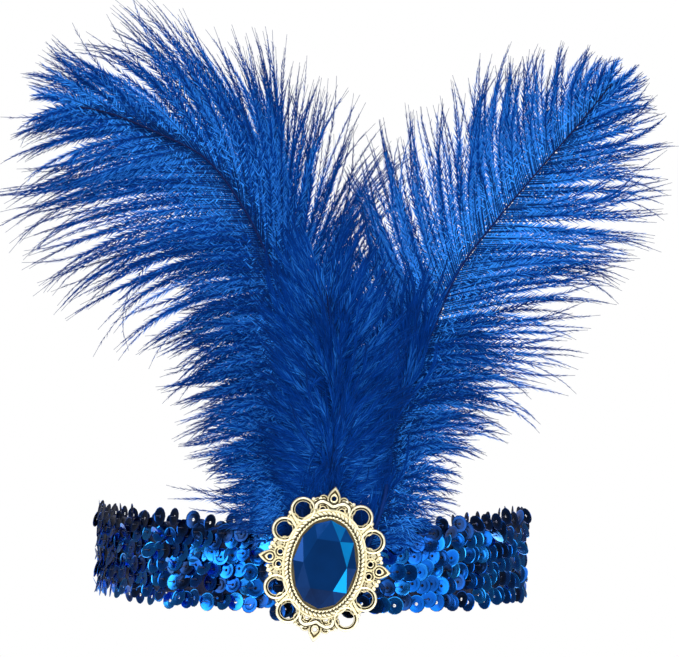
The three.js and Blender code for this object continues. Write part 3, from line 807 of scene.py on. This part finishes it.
# Frames of all sequins: the band's own frame, turned by lap about the upright and by nod about the crosswise
def sequinFrames(values, rng):
    rows = values["rows"]
    each = int(round(bandAngles(2)[1] / values["pitch"]))
    row = np.repeat(np.arange(rows), each)
    count = len(row)
    spacing = fullTurn / each
    angle = np.tile(bandAngles(each)[0], rows) + (row % 2) * spacing / 2
    angle = angle + rng.normal(0, values["slip"], count) * spacing
    odd = np.tile(np.arange(each) % 2, rows)
    edge = np.zeros(count)
    for edgeRow, (start, more) in ((rows - 1, values["topEdge"]), (0, values["lowEdge"])):
        edge = np.where(row == edgeRow, start + more * odd, edge)
    height = (row - (rows - 1) / 2) * values["rowPitch"] + edge + rng.normal(0, values["rise"], count)
    loose = np.where(rng.random(count) < values["loose"], values["looseness"], 1.0)
    lap = values["lap"] + values["lapTurn"] * np.sin(angle)
    lap = np.radians(lap + rng.normal(0, values["lapSpread"], count) * loose)
    nod = np.radians(values["nod"] + rng.normal(0, values["nodSpread"], count) * loose)
    rim = max(values["profile"])[0]
    sunk = rim * np.sqrt(1 - (np.cos(lap) * np.cos(nod)) ** 2)  # how far its back edge sinks
    depth = values["depth"] + rng.normal(0, values["depthSpread"], count)
    depth = np.minimum(depth, bandSet["ribbonDepth"][0] - values["clearance"] - sunk)
    middle = bandPlace(angle, depth, height)
    at, about, drop = values["hang"]
    middle[(row == 0) & (middle[:, 1] < 0) & (np.abs(middle[:, 0] - at) < about), 2] -= drop
    along = unit(bandPlace(angle + 0.002, depth, height) - bandPlace(angle - 0.002, depth, height))
    out = unit(np.cross(along, upward))
    lap, nod = lap[:, None], nod[:, None]
    right = along * np.cos(lap) + out * np.sin(lap)
    lapped = out * np.cos(lap) - along * np.sin(lap)
    top = upward * np.cos(nod) - lapped * np.sin(nod)
    face = lapped * np.cos(nod) + upward * np.sin(nod)
    return middle, (right, top, face), row


# A sequin is its profile of radius and height carried round its middle, and its stitch a short line of knots
def buildSequins(values):
    rng = np.random.default_rng(values["seed"])
    middle, axes, row = sequinFrames(values, rng)
    count, rings, sides = len(middle), len(values["profile"]), values["sides"]
    radius, height, lighter = np.transpose(values["profile"])[:, None, :, None]
    size = rng.normal(1.0, values["sizeSpread"], count)[:, None, None]
    turn = turns(sides)
    offsets = np.broadcast_arrays(radius * np.cos(turn) * size, radius * np.sin(turn) * size, height)
    points = middle[:, None, None] + sum(
        axis[:, None, None] * offset[..., None] for axis, offset in zip(axes, offsets))
    quads = repeatFaces(gridQuads(rings, sides, roundRows=True), count, rings * sides)
    # the top row is painted dark as shade, and a random share is nearly black
    dullOrShaded = (row == values["rows"] - 1) | (rng.random(count) < values["dullOrShaded"])
    shade = rng.normal(*values["shade"], count) - np.where(dullOrShaded, values["dullOrShadedCut"], 0.0)
    # painted shade: sequins behind the brooch are darkened as if in its shadow
    start, end, darker = values["sequinBroochShade"]
    sequinBroochShade = smoothStep(start, end, np.abs(middle[:, 0])) * (middle[:, 1] < 0)
    shade = np.clip(shade - darker * sequinBroochShade, 0.0, 0.9)[:, None, None]
    # painted highlight on each sequin's rim and painted shade round its hole and on its back
    tone = np.broadcast_to(np.clip(shade + lighter, 0, 1), (count, rings, sides))
    part = makePart(points * mm, quads, tone=tone)
    sequins = makePiece("sequins", [part], sequinFoil, ["band"], sharpAngle=40)
    knots = np.transpose(values["stitch"])[..., None]
    thread = middle[:, None] + sum(axis[:, None] * knot for axis, knot in zip(axes, knots))
    stitches = barbTubes(thread, values["threadRadius"], 0.5)
    return sequins, makePiece("sequin_thread", [stitches], sewingThread)


sequinFoil = makeFinish(
    "sequinFoil",
    [(0.005, 0.019, 0.07), (0.001, 0.098, 0.51), (0.025, 0.32, 0.86)],
    {"Scale": 700.0, "Low": 0.14, "High": 0.24},
    {"Metallic": 0.97, "Specular IOR Level": 0.4, "Coat Weight": 0.05, "Coat Roughness": 0.3},
    drift=(0.12, 40.0),
    bump=(0.03, 0.00003),
)

sewingThread = makeFinish(
    "sewingThread",
    [(0.002, 0.003, 0.012), (0.006, 0.012, 0.05), (0.02, 0.05, 0.2)],
    {"Scale": 4000.0, "Low": 0.5, "High": 0.8},
    {"Sheen Weight": 0.2},
)

sequins, sequinThread = buildSequins(sequinSet)
print("band dressed")


# Brooch, drawn flat in u (its right), v (its top) and w (out to the eye), in millimetres
broochSet = {
    "middle": (0.0, -102.3, 0.8),
    "tilt": 7.5,  # degrees, the top leans to +X
    "seat": (11.3, 15.8),  # half sizes of the oval that holds the stone
    "bezel": (12.0, 16.5),
    "ledge": (9.5, 14.0),
    "collar": (14.6, 19.1),
    "ropes": [
        # half sizes of the oval, beads, half sizes of a bead, slant in degrees, height
        ((13.0, 17.5), 62, (1.02, 0.52, 0.62), 36, 1.72),
        ((11.72, 16.22), 70, (0.56, 0.3, 0.42), -24, 2.62),
    ],
    "eyelets": [(15.3, 9.9), (10.0, 17.5)],  # one quarter
    "eyeletHole": 2.75,
    "eyeletOuter": 4.4,
    "buds": [
        (17.9, 6.0, 0.75), (18.7, 4.6, 0.8), (19.2, 3.2, 0.7), (14.0, 15.9, 0.8), (4.6, 22.0, 0.7),
        (6.9, 21.5, 0.7),
    ],
    "budHeight": 1.0,
    "webs": [
        (12.9, 13.7, 2.3), (16.3, 5.0, 2.1), (14.6, 6.2, 1.6), (6.0, 19.4, 2.1), (5.6, 17.6, 1.6),
        (3.5, 21.9, 1.7), (5.3, 21.0, 1.5), (17.9, 3.9, 1.5),
    ],
    "webHole": 0.1,
    "wing": [(5.7, 18.4), (5.5, 20.2), (3.9, 21.2), (2.0, 20.8), (0.0, 19.9)],  # ridge over the lobes, half
    "wingHeight": 1.85,
    "wingRadius": 0.55,
    "wingShadowLine": (0.5, 1.75),  # a painted shadow line along its foot: how much lower, and how much broader
    "trefoils": [
        # turn, tip, eye, lobeReach, lobeOut
        (0, 26.9, 22.6, 18.5, 3.3), (90, 23.0, 18.9, 15.6, 2.1),
        (180, 26.9, 22.6, 18.5, 3.3), (270, 23.0, 18.9, 15.6, 2.1),
    ],
    "petal": (1.2, 4.1, 1.1),  # half width of the foot, pull of the belly, and the foot's way past the lobes
    "lobe": 2.4,
    "piercing": 0.8,
    "bars": {  # pairs that join the rings on a slant
        "at": (11.6, 12.4), "aim": (0.62, 0.78), "apart": 0.62, "run": (-0.4, 3.2), "heights": (1.6, 1.2),
        "radius": 0.5,
    },
    "sides": {"oval": 96, "eyelet": 40, "petal": 56, "lobe": 32, "web": 28},
}


def broochPlace(points, values=broochSet):
    c, s = cosSin(values["tilt"])
    axes = np.array([[c, 0.0, -s], [s, 0.0, c], [0.0, -1.0, 0.0]])
    return (np.asarray(points, float) @ axes + np.asarray(values["middle"])) * mm


def oval(half, count):
    turn = turns(count)
    return np.column_stack([half[0] * np.cos(turn), half[1] * np.sin(turn)])


def atHeight(flat, height):
    return np.column_stack([flat, np.full(len(flat), height)])


def circle(middle, radius, count):
    return oval((radius, radius), count) + np.asarray(middle)


# A pierced plate with relief: between an inner and an outer loop, each profile row gives the share of the
# way out, the height there and its tone; the tone is painted shade in the grooves and painted highlight on
# the crests
def ringedPlate(inner, outer, profile):
    share, height, tone = np.asarray(profile, float).T
    flat = inner[:, None] + (outer - inner)[:, None] * share[None, :, None]
    points = np.concatenate([flat, np.broadcast_to(height, flat.shape[:2])[..., None]], axis=-1)
    quads = gridQuads(len(inner), len(share), roundRows=True)
    return makePart(broochPlace(points), quads, tone=np.broadcast_to(tone, flat.shape[:2]))


def roundPlate(middle, hole, radius, count, profile):
    return ringedPlate(circle(middle, hole, count), circle(middle, radius, count), profile)


# Profiles: share of the way out, height and tone; low tones are painted shade in grooves and round edges,
# high ones painted highlight on crests
eyeletProfile = [
    (0.0, 0.0, 0.2), (0.0, 1.3, 0.5), (0.05, 1.6, 0.95), (0.13, 1.6, 0.95), (0.18, 1.2, 0.05),
    (0.27, 0.95, 0.0), (0.38, 0.95, 0.0), (0.45, 1.3, 0.05), (0.53, 1.95, 0.95), (0.72, 2.15, 1.0),
    (0.86, 2.0, 0.95), (0.93, 1.5, 0.2), (1.0, 0.9, 0.0), (1.0, 0.0, 0.2),
]
webProfile = [
    (0.0, 0.0, 0.3), (0.0, 1.15, 0.9), (0.36, 1.15, 0.85), (0.44, 0.85, 0.05), (0.58, 0.8, 0.0),
    (0.66, 0.85, 0.05), (0.74, 1.2, 0.85), (0.87, 1.15, 0.8), (0.95, 0.8, 0.1), (1.0, 0.6, 0.0),
    (1.0, 0.0, 0.2),
]
lobeProfile = [
    (0.0, 0.0, 0.0), (0.0, 0.75, 0.05), (0.06, 1.0, 0.85), (0.22, 1.1, 0.95), (0.28, 0.85, 0.05),
    (0.4, 0.8, 0.0), (0.52, 0.85, 0.02), (0.58, 1.5, 0.8), (0.72, 1.95, 1.0), (0.85, 1.7, 0.95),
    (0.92, 1.2, 0.1), (1.0, 0.8, 0.0), (1.0, 0.0, 0.2),
]
petalProfile = [
    (0.0, 0.0, 0.0), (0.0, 0.8, 0.05), (0.08, 1.05, 0.8), (0.28, 1.15, 0.85), (0.35, 0.9, 0.05),
    (0.48, 0.85, 0.0), (0.58, 0.95, 0.02), (0.66, 1.65, 0.9), (0.8, 1.95, 1.0), (0.9, 1.65, 0.9),
    (0.96, 1.2, 0.15), (1.0, 1.0, 0.0), (1.0, 0.0, 0.2),
]
collarProfile = [
    (0.0, 0.0, 0.1), (0.0, 1.45, 0.2), (0.35, 1.5, 0.1), (0.5, 1.4, 0.0), (0.62, 1.45, 0.25),
    (0.78, 1.5, 0.2), (0.88, 1.75, 0.9), (0.96, 1.6, 0.9), (1.0, 1.1, 0.2), (1.0, 0.0, 0.2),
]
bezelProfile = [
    (0.0, 0.1, 0.0), (0.0, 2.4, 0.2), (0.1, 2.7, 0.75), (0.3, 2.75, 0.7), (0.6, 2.6, 0.1),
    (0.9, 2.4, 0.05), (1.0, 2.0, 0.0), (1.0, 0.1, 0.0),
]


# A petal's outline seen from its drop hole: distance by angle, from two bent sides and a straight foot
def petalLoop(tip, eye, foot, values, count):
    half, belly = values["petal"][:2]
    t = np.linspace(0, 1, 60)[:, None]
    start, bend, end = np.array([half, foot]), np.array([belly, eye]), np.array([0.0, tip])
    side = (1 - t) ** 2 * start + 2 * t * (1 - t) * bend + t ** 2 * end
    base = np.column_stack([np.linspace(-half, half, 20), np.full(20, foot)])
    outline = np.concatenate([base, side, side[::-1] * np.array([-1.0, 1.0])]) - np.array([0.0, eye])
    angle = np.arctan2(outline[:, 1], outline[:, 0])
    order = np.argsort(angle)
    at = math.pi / 2 + turns(count)
    reach = np.linalg.norm(outline, axis=1)[order]
    reach = np.interp((at + math.pi) % fullTurn - math.pi, angle[order], reach, period=fullTurn)
    middle = np.array([0.0, eye])
    direction = np.column_stack([np.cos(at), np.sin(at)])
    return middle + direction * values["piercing"], middle + direction * reach[:, None]


def turned(points, degrees):
    c, s = cosSin(degrees)
    return points @ np.array([[c, -s], [s, c]])


# Rows of one quarter, mirrored into all four
def mirroredAll(rows):
    rows = np.asarray(rows, float)
    signs = [(1, 1), (-1, 1), (1, -1), (-1, -1)]
    return np.concatenate([rows * np.array([*sign, *[1] * (rows.shape[1] - 2)]) for sign in signs])


def broochBeads(middles, axes):
    beads = beadParts(middles, axes)
    beads["points"] = broochPlace(beads["points"])
    return beads


# A rope rim: beads laid slantwise round an oval at even distances
def ropeBeads(half, count, size, slant, height):
    loop = oval(half, 1440)
    loop = np.concatenate([loop, loop[:1]])
    run = runAlong(loop)
    flat = readAlong(np.arange(count) / count * run[-1], run, loop)
    along = unit(np.column_stack([-flat[:, 1] / half[1] ** 2, flat[:, 0] / half[0] ** 2]))
    outward = np.column_stack([along[:, 1], -along[:, 0]])
    c, s = cosSin(slant)
    axes = np.zeros((count, 3, 3))
    axes[:, 0, :2] = (along * c + outward * s) * size[0]
    axes[:, 1, :2] = (outward * c - along * s) * size[1]
    axes[:, 2, 2] = size[2]
    return broochBeads(atHeight(flat, height), axes)


def buildBrooch(values):
    sides, piercing = values["sides"], values["piercing"]
    parts = []
    for inner, outer, profile in (("ledge", "collar", collarProfile), ("seat", "bezel", bezelProfile)):
        inside, outside = (oval(values[key], sides["oval"]) for key in (inner, outer))
        parts.append(ringedPlate(inside, outside, profile))
    for rope in values["ropes"]:
        parts.append(ropeBeads(*rope))
    for middle in mirroredAll(values["eyelets"]):
        hole, radius = values["eyeletHole"], values["eyeletOuter"]
        parts.append(roundPlate(middle, hole, radius, sides["eyelet"], eyeletProfile))
    for turn, tip, eye, lobeReach, lobeOut in values["trefoils"]:
        hole, rim = petalLoop(tip, eye, lobeReach + values["petal"][2], values, sides["petal"])
        parts.append(ringedPlate(turned(hole, turn), turned(rim, turn), petalProfile))
        for out in (-lobeOut, lobeOut):
            middle = turned(np.array([[out, lobeReach]]), turn)[0]
            parts.append(roundPlate(middle, piercing, values["lobe"], sides["lobe"], lobeProfile))
    for u, v, radius in mirroredAll(values["webs"]):
        parts.append(roundPlate((u, v), values["webHole"], radius, sides["web"], webProfile))
    half = np.asarray(values["wing"])
    wing = np.concatenate([half, (half * [-1, 1])[-2::-1]])
    wing = shaftLine(atHeight(wing, values["wingHeight"]), 41)[1]
    lower, broader = values["wingShadowLine"]
    for side in (1, -1):
        ridge = wing * [1, side, 1]
        # the ridge is painted bright as highlight, and a broader dark tube below it is a painted shadow line
        # along its foot
        parts.append(tubePart(broochPlace(ridge), values["wingRadius"] * mm, 1.0))
        parts.append(tubePart(broochPlace(ridge - [0, 0, lower]), broader * values["wingRadius"] * mm, 0.0))
    buds = mirroredAll(values["buds"])
    parts.append(broochBeads(atHeight(buds[:, :2], values["budHeight"]), buds[:, 2, None, None] * np.eye(3)))
    bars = values["bars"]
    for start in mirroredAll([bars["at"]]):
        aim = np.copysign(bars["aim"], start)
        for shift in (-bars["apart"], bars["apart"]):
            flat = start + np.array([-aim[1], aim[0]]) * shift + aim * np.linspace(*bars["run"], 6)[:, None]
            line = np.column_stack([flat, np.linspace(*bars["heights"], 6)])
            parts.append(tubePart(broochPlace(line), bars["radius"] * mm, 0.9))
    makePiece("brooch_relief", parts, giltCasting, ["brooch_setting"], sharpAngle=55)


# its dark tone serves as painted shade in the grooves, its bright tone as painted highlight on the crests
giltCasting = makeFinish(
    "giltCasting",
    [(0.05, 0.034, 0.011), (0.92, 0.77, 0.42), (1.0, 0.96, 0.71)],
    {"Scale": 1800.0, "Low": 0.26, "High": 0.4},
    {"Metallic": 0.52, "Specular IOR Level": 0.5},
    drift=(0.15, 160.0),
    bump=(0.15, 0.00005),
)

buildBrooch(broochSet)


# Stone: a deep blue crown with a long six-sided table, over a shallow back with a keel
stoneSet = {
    "table": [(3.9, 8.5), (7.5, 0.0)],  # one quarter of the corners, mm
    "girdle": [(0.0, 15.3), (5.4, 13.2), (8.8, 8.7), (11.0, 0.0)],
    "keel": [(2.2, 5.0), (3.4, 0.0)],
    "girdleHeights": (2.35, 2.7),
    "tableHeight": 5.4,
    "keelHeight": 1.85,
    # tone of each facet, a painted reflection, clockwise from the upper right: before a table corner, after
    # it, along a table side
    "before": [0.66, 0.3, 0.25, 0.12, 0.25, 0.36],
    "after": [0.5, 0.28, 0.15, 0.2, 0.3, 0.4],
    "along": [0.8, 1.0, 0.1, 0.22, 0.36, 0.46],
    "top": 0.27,
    "back": 0.3,
}


# All corners of a quarter, mirrored both ways, clockwise from the top
def cornerLoop(quarter, height):
    quarter = np.asarray(quarter, float)
    right = np.concatenate([quarter, (quarter * [1, -1])[quarter[:, 1] > 0][::-1]])
    left = (right * [-1, 1])[right[:, 0] > 0][::-1]
    return atHeight(np.concatenate([right, left]), height)


def buildStone(values):
    low, high = values["girdleHeights"]
    loops = [
        cornerLoop(values["keel"], values["keelHeight"]),
        cornerLoop(values["girdle"], low),
        cornerLoop(values["girdle"], high),
        cornerLoop(values["table"], values["tableHeight"]),
    ]
    six, twelve = np.arange(6), np.arange(12)
    keel, lower, upper, table = 0, 6, 18, 30
    before, facing, after = 2 * six, 2 * six + 1, (2 * six + 2) % 12
    following = (six + 1) % 6

    # facets between a ring of twelve and a ring of six: three to each corner of the six
    def crown(ring, cap):
        return np.concatenate([
            np.column_stack([ring + before, cap + six, ring + facing]),
            np.column_stack([ring + facing, cap + six, ring + after]),
            np.column_stack([cap + six, cap + following, ring + after]),
        ])

    def lid(ring, count):
        side = np.arange(1, count - 1)
        return np.column_stack([np.full(count - 2, ring), ring + side, ring + side + 1])

    onward = (twelve + 1) % 12
    wall = np.concatenate([
        np.column_stack([lower + twelve, upper + twelve, upper + onward]),
        np.column_stack([lower + twelve, upper + onward, lower + onward]),
    ])
    clear = np.concatenate([crown(upper, table), lid(table, 6), wall])
    foil = np.concatenate([crown(lower, keel), lid(keel, 6)])[:, ::-1]
    points = broochPlace(np.concatenate(loops))
    part = makePart(points, tris=np.concatenate([clear, foil]))
    # per-facet tones paint the stone's inner reflections and shade
    tone = np.concatenate([
        values["before"], values["after"], values["along"], np.full(4, values["top"]),
        np.full(len(wall) + len(foil), values["back"]),
    ])
    makePiece("gem_cut", [part], stoneCut, ["gem"], sharpAngle=0, faceTone=tone)


stoneCut = makeFinish(
    "stoneCut",
    [(0.002, 0.008, 0.035), (0.003, 0.05, 0.22), (0.004, 0.35, 0.86)],
    {"Scale": 300.0, "Low": 0.03, "High": 0.08},
    {"Metallic": 0.4, "IOR": 1.54, "Specular IOR Level": 0.07},
    drift=(0.3, 90.0),
    bump=(0.02, 0.00002),
)

buildStone(stoneSet)
print("brooch and stone set")


# Studio: a pale floor that fades out before the picture's frame, white behind, soft boxes round the front
studioSet = {
    "floorHeight": -0.165,  # metres, well below the band as worn
    "floorRadius": 1.1,
    "floorGrid": (12, 64),  # rings, and points round each
    "floorFade": 0.45,  # share of the radius where it begins to fade
    "boxes": [
        # name, azimuth, elevation, distance, width, height, glow
        ("keyBox", -68, 18, 1.5, 0.6, 0.8, 5.0),
        ("sideBox", 50, 18, 1.5, 0.55, 0.8, 4.0),
        ("frontBox", -4, 64, 1.6, 1.2, 0.7, 9.0),
        ("fillLeft", -30, 4, 1.9, 0.55, 1.4, 1.3),
        ("fillRight", 30, 4, 1.9, 0.55, 1.4, 1.3),
        ("topBox", 20, 86, 1.4, 1.0, 1.0, 2.5),
        ("backBox", 150, 35, 1.6, 1.0, 1.0, 3.0),
        ("backSideBox", 205, 55, 1.6, 1.0, 1.0, 3.0),
    ],
    "aim": (0.0, -0.08, 0.05),
    "ambient": 0.45,  # lights matt surfaces
    "gleam": 0.15,  # what shiny surfaces see between the boxes
}


def addSoftBox(name, azimuth, elevation, distance, width, height, glow, aim):
    (c, s), (flat, rise) = cosSin(azimuth), cosSin(elevation)
    back = np.array([s * flat, -c * flat, rise])
    right = unit(np.cross(upward, back))
    up = np.cross(back, right)
    data = bpy.data.lights.new(name, "AREA")
    data.shape = "RECTANGLE"
    data.size, data.size_y, data.energy = width, height, glow * math.pi * width * height
    light = addObject(name, data, [right, up, back, np.asarray(aim) + back * distance])
    light.visible_camera = False


# The floor: rings of points on a flat disc
def addFloor(values):
    rings, sides = values["floorGrid"]
    radius = np.linspace(0.02, values["floorRadius"], rings)[:, None]
    turn = turns(sides)
    points = np.stack(np.broadcast_arrays(
        radius * np.cos(turn), radius * np.sin(turn), values["floorHeight"]), axis=-1)
    mesh = bpy.data.meshes.new("floor")
    quads = gridQuads(rings, sides)
    mesh.from_pydata(points.reshape(-1, 3).tolist(), [], [*quads.tolist(), list(range(sides))])
    mesh.update()
    material = bpy.data.materials.new("paleFloor")
    material.use_nodes = True
    tree = material.node_tree
    place = addNode(tree, "ShaderNodeTexCoord", {}).outputs["Object"]
    apart = addNode(tree, "ShaderNodeVectorMath", {0: place}, operation="LENGTH")
    fade = addNode(tree, "ShaderNodeMapRange", {
        "Value": apart.outputs["Value"], "From Min": values["floorFade"] * values["floorRadius"],
        "From Max": values["floorRadius"], "To Min": 1.0, "To Max": 0.0,
    }, interpolation_type="SMOOTHSTEP")
    grained = addNode(tree, "ShaderNodeGroup", {"Scale": 40.0, "Low": 0.5, "High": 0.7}, node_tree=fineGrain)
    feed(tree, tree.nodes["Principled BSDF"], {
        "Base Color": (0.86, 0.86, 0.87, 1), "Alpha": fade.outputs[0], "Roughness": grained.outputs["Gloss"]})
    mesh.materials.append(material)
    floor = addObject("floor", mesh)


# The world: white to the camera, and dimmer to shiny surfaces than to matt ones
def setWorld(values):
    world = bpy.data.worlds.new("studio")
    bpy.context.scene.world = world
    world.use_nodes = True
    tree = world.node_tree
    seen = addNode(tree, "ShaderNodeLightPath", {}).outputs
    matt = addNode(tree, "ShaderNodeMix", {
        "Factor": seen["Is Diffuse Ray"], "A": values["gleam"], "B": values["ambient"]}, data_type="FLOAT")
    behind = addNode(tree, "ShaderNodeMix", {
        "Factor": seen["Is Camera Ray"], "A": matt.outputs["Result"], "B": 1.0}, data_type="FLOAT")
    feed(tree, tree.nodes["Background"], {"Color": (1, 1, 1, 1), "Strength": behind.outputs["Result"]})


setWorld(studioSet)
addFloor(studioSet)
for box in studioSet["boxes"]:
    addSoftBox(*box, studioSet["aim"])
bpy.context.scene.view_settings.view_transform = "Standard"
print("studio lit;", sum(triangleCount.values()), "triangles in all")
